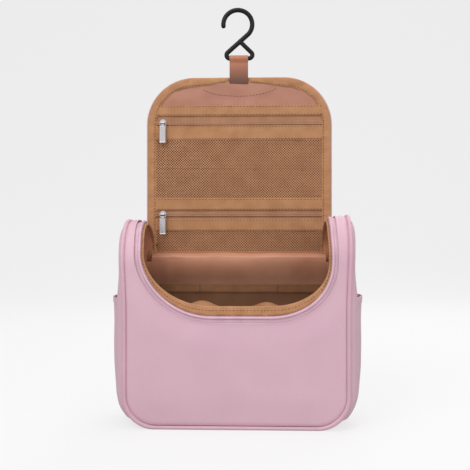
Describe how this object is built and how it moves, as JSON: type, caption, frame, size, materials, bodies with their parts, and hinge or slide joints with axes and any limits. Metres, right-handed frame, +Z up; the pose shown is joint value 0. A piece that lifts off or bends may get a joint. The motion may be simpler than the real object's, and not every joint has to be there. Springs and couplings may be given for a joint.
{
  "type": "hanging toiletry bag",
  "caption": "Standing loaf-shaped toiletry bag whose padded lid opens upright, with zipped mesh pockets inside the lid, side slip pockets and a fold-away hanging hook.",
  "frame": {"origin": "on the standing surface, under the middle of the bag", "axes": "+Z up, front faces -Y, +X to the viewer's right"},
  "size_m": [0.271, 0.1051, 0.4698],
  "materials": {
    "pink_leather": "fine-grained faux leather, satin",
    "pink_piping": "faux leather over cord, satin",
    "pink_tape": "woven zip tape with a nylon coil",
    "tan_tape": "woven zip tape with a nylon coil",
    "tan_binding": "grosgrain binding, stitched",
    "tan_band": "twill band, stitched",
    "tan_mesh": "open diamond mesh",
    "terracotta_lining": "satin-faced lining",
    "terracotta_strap": "folded faux leather, stitched",
    "foam": "closed-cell foam sheet",
    "board": "rigid sheet",
    "silver_metal": "bright cast metal",
    "black_plastic": "moulded, satin"
  },
  "bodies": {
    "case": {"back_foam": "foam", "back_lining": "terracotta_lining", "back_panel": "pink_leather", "back_piping": "pink_piping", "base_board": "board", "base_panel": "pink_leather", "body_binding": "tan_binding", "body_zip": "pink_tape", "front_foam": "foam", "front_lining": "terracotta_lining", "front_mesh_pocket": "tan_mesh", "front_panel": "pink_leather", "front_piping": "pink_piping", "front_pocket_band": "tan_band", "gusset_lining": "terracotta_lining", "left_gusset": "pink_leather", "left_side_pocket": "pink_leather", "rear_mesh_pocket": "tan_mesh", "rear_pocket_band": "tan_band", "right_gusset": "pink_leather", "right_side_pocket": "pink_leather"},
    "lid_rear": {"lid_binding_rear_left": "tan_binding", "lid_binding_rear_right": "tan_binding", "lid_foam_rear": "foam", "lid_lining_rear": "terracotta_lining", "lid_outer_rear": "pink_leather", "lid_zip_rear_left": "pink_tape", "lid_zip_rear_right": "pink_tape", "lower_mesh": "tan_mesh", "lower_pocket_band_above": "tan_band", "lower_pocket_band_below": "tan_band", "lower_pocket_zip": "tan_tape"},
    "lid_middle": {"lid_binding_middle_left": "tan_binding", "lid_binding_middle_right": "tan_binding", "lid_foam_middle": "foam", "lid_lining_middle": "terracotta_lining", "lid_outer_middle": "pink_leather", "lid_zip_middle_left": "pink_tape", "lid_zip_middle_right": "pink_tape", "upper_mesh": "tan_mesh"},
    "lid_front": {"hook_pocket": "terracotta_lining", "lid_binding_front": "tan_binding", "lid_foam_front": "foam", "lid_lining_front": "terracotta_lining", "lid_outer_front": "pink_leather", "lid_zip_front": "pink_tape", "upper_pocket_band_above": "tan_band", "upper_pocket_band_below": "tan_band", "upper_pocket_zip": "tan_tape"},
    "lower_zip_slider": {"lower_slider": "silver_metal"},
    "lower_zip_pull": {"lower_pull": "silver_metal"},
    "upper_zip_slider": {"upper_slider": "silver_metal"},
    "upper_zip_pull": {"upper_pull": "silver_metal"},
    "main_slider_left": {"left_main_slider": "silver_metal"},
    "main_pull_left": {"left_main_pull": "silver_metal"},
    "main_slider_right": {"right_main_slider": "silver_metal"},
    "main_pull_right": {"right_main_pull": "silver_metal"},
    "strap": {"hang_strap": "terracotta_strap"},
    "hook": {"hook": "black_plastic"}
  },
  "joints": [
    {"name": "lid_hinge", "type": "hinge", "parent": "case", "child": "lid_rear", "pos_m": [0, 0.05, 0.175], "axis": [1, 0, 0], "range_deg": [0, 43.1], "deforming": ["lid_binding_rear_left", "lid_binding_rear_right", "lid_zip_rear_left", "lid_zip_rear_right"]},
    {"name": "lid_fold_lower", "type": "hinge", "parent": "lid_rear", "child": "lid_middle", "pos_m": [0, 0.05, 0.254], "axis": [1, 0, 0], "range_deg": [0, 85.54], "deforming": ["lid_binding_middle_left", "lid_binding_middle_right", "lid_zip_middle_left", "lid_zip_middle_right"]},
    {"name": "lid_fold_upper", "type": "hinge", "parent": "lid_middle", "child": "lid_front", "pos_m": [0, 0.05, 0.3125], "axis": [1, 0, 0], "range_deg": [0, 52.31], "deforming": ["lid_binding_front", "lid_zip_front"]},
    {"name": "strap_fold", "type": "hinge", "parent": "lid_front", "child": "strap", "pos_m": [0, 0.0417, 0.3775], "axis": [1, 0, 0], "range_deg": [0, 155.66]},
    {"name": "hook_swing", "type": "hinge", "parent": "strap", "child": "hook", "pos_m": [0, 0.04315, 0.4108], "axis": [-1, 0, 0], "range_deg": [-85, 85]},
    {"name": "lower_zip_travel", "type": "slide", "parent": "lid_rear", "child": "lower_zip_slider", "axis": [1, 0, 0], "range_m": [0, 0.1735]},
    {"name": "lower_pull_lift", "type": "hinge", "parent": "lower_zip_slider", "child": "lower_zip_pull", "pos_m": [-0.0885, 0.0382, 0.2289], "axis": [-1, 0, 0], "range_deg": [0, 150]},
    {"name": "upper_zip_travel", "type": "slide", "parent": "lid_front", "child": "upper_zip_slider", "axis": [1, 0, 0], "range_m": [0, 0.1685]},
    {"name": "upper_pull_lift", "type": "hinge", "parent": "upper_zip_slider", "child": "upper_zip_pull", "pos_m": [-0.0885, 0.0382, 0.3356], "axis": [-1, 0, 0], "range_deg": [0, 150]},
    {"name": "left_main_zip_travel", "type": "hinge", "parent": "case", "child": "main_slider_left", "pos_m": [-0.09885, 0, 0.174], "axis": [1, 0, 0], "range_deg": [0, 145]},
    {"name": "left_main_pull_lift", "type": "hinge", "parent": "main_slider_left", "child": "main_pull_left", "pos_m": [-0.09885, 0.05215, 0.19298], "axis": [1, 0, 0], "range_deg": [0, 150]},
    {"name": "right_main_zip_travel", "type": "hinge", "parent": "case", "child": "main_slider_right", "pos_m": [0.09885, 0, 0.174], "axis": [1, 0, 0], "range_deg": [0, 145]},
    {"name": "right_main_pull_lift", "type": "hinge", "parent": "main_slider_right", "child": "main_pull_right", "pos_m": [0.09885, 0.05215, 0.19298], "axis": [1, 0, 0], "range_deg": [0, 150]}
  ],
  "couplings": [
    {"joint": "lid_fold_lower", "follows": "lid_hinge", "ratio": 1.973},
    {"joint": "lid_fold_upper", "follows": "lid_hinge", "ratio": 1.202},
    {"joint": "strap_fold", "follows": "lid_hinge", "ratio": 3.6}
  ]
}
